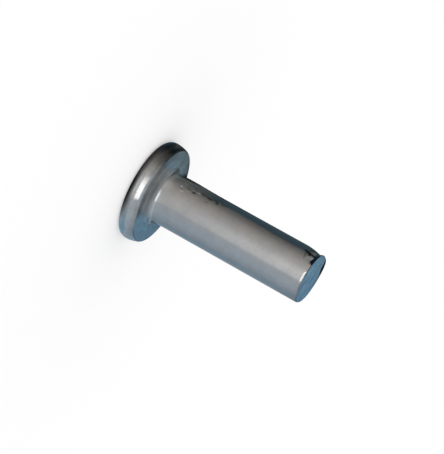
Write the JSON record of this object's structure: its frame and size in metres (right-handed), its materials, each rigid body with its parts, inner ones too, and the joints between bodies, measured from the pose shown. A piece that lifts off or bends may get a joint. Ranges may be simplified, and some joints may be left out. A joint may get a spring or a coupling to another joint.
{
  "type": "rivet",
  "caption": "Solid flat-head rivet: a disc head with a round-edged rim, a flat seat and a small neck fillet on a plain straight shank sheared to length.",
  "frame": {"origin": "centre of the flat crown of the head, which the rivet stands on", "axes": "+Z along the shank's axis, from the head to the free end; the sheared side of the free end faces -X"},
  "size_m": [0.01, 0.01, 0.0178],
  "materials": {
    "steel": "drawn satin shank, brighter headed rim and seat"
  },
  "bodies": {
    "root": {"rivet": "steel"}
  },
  "joints": []
}
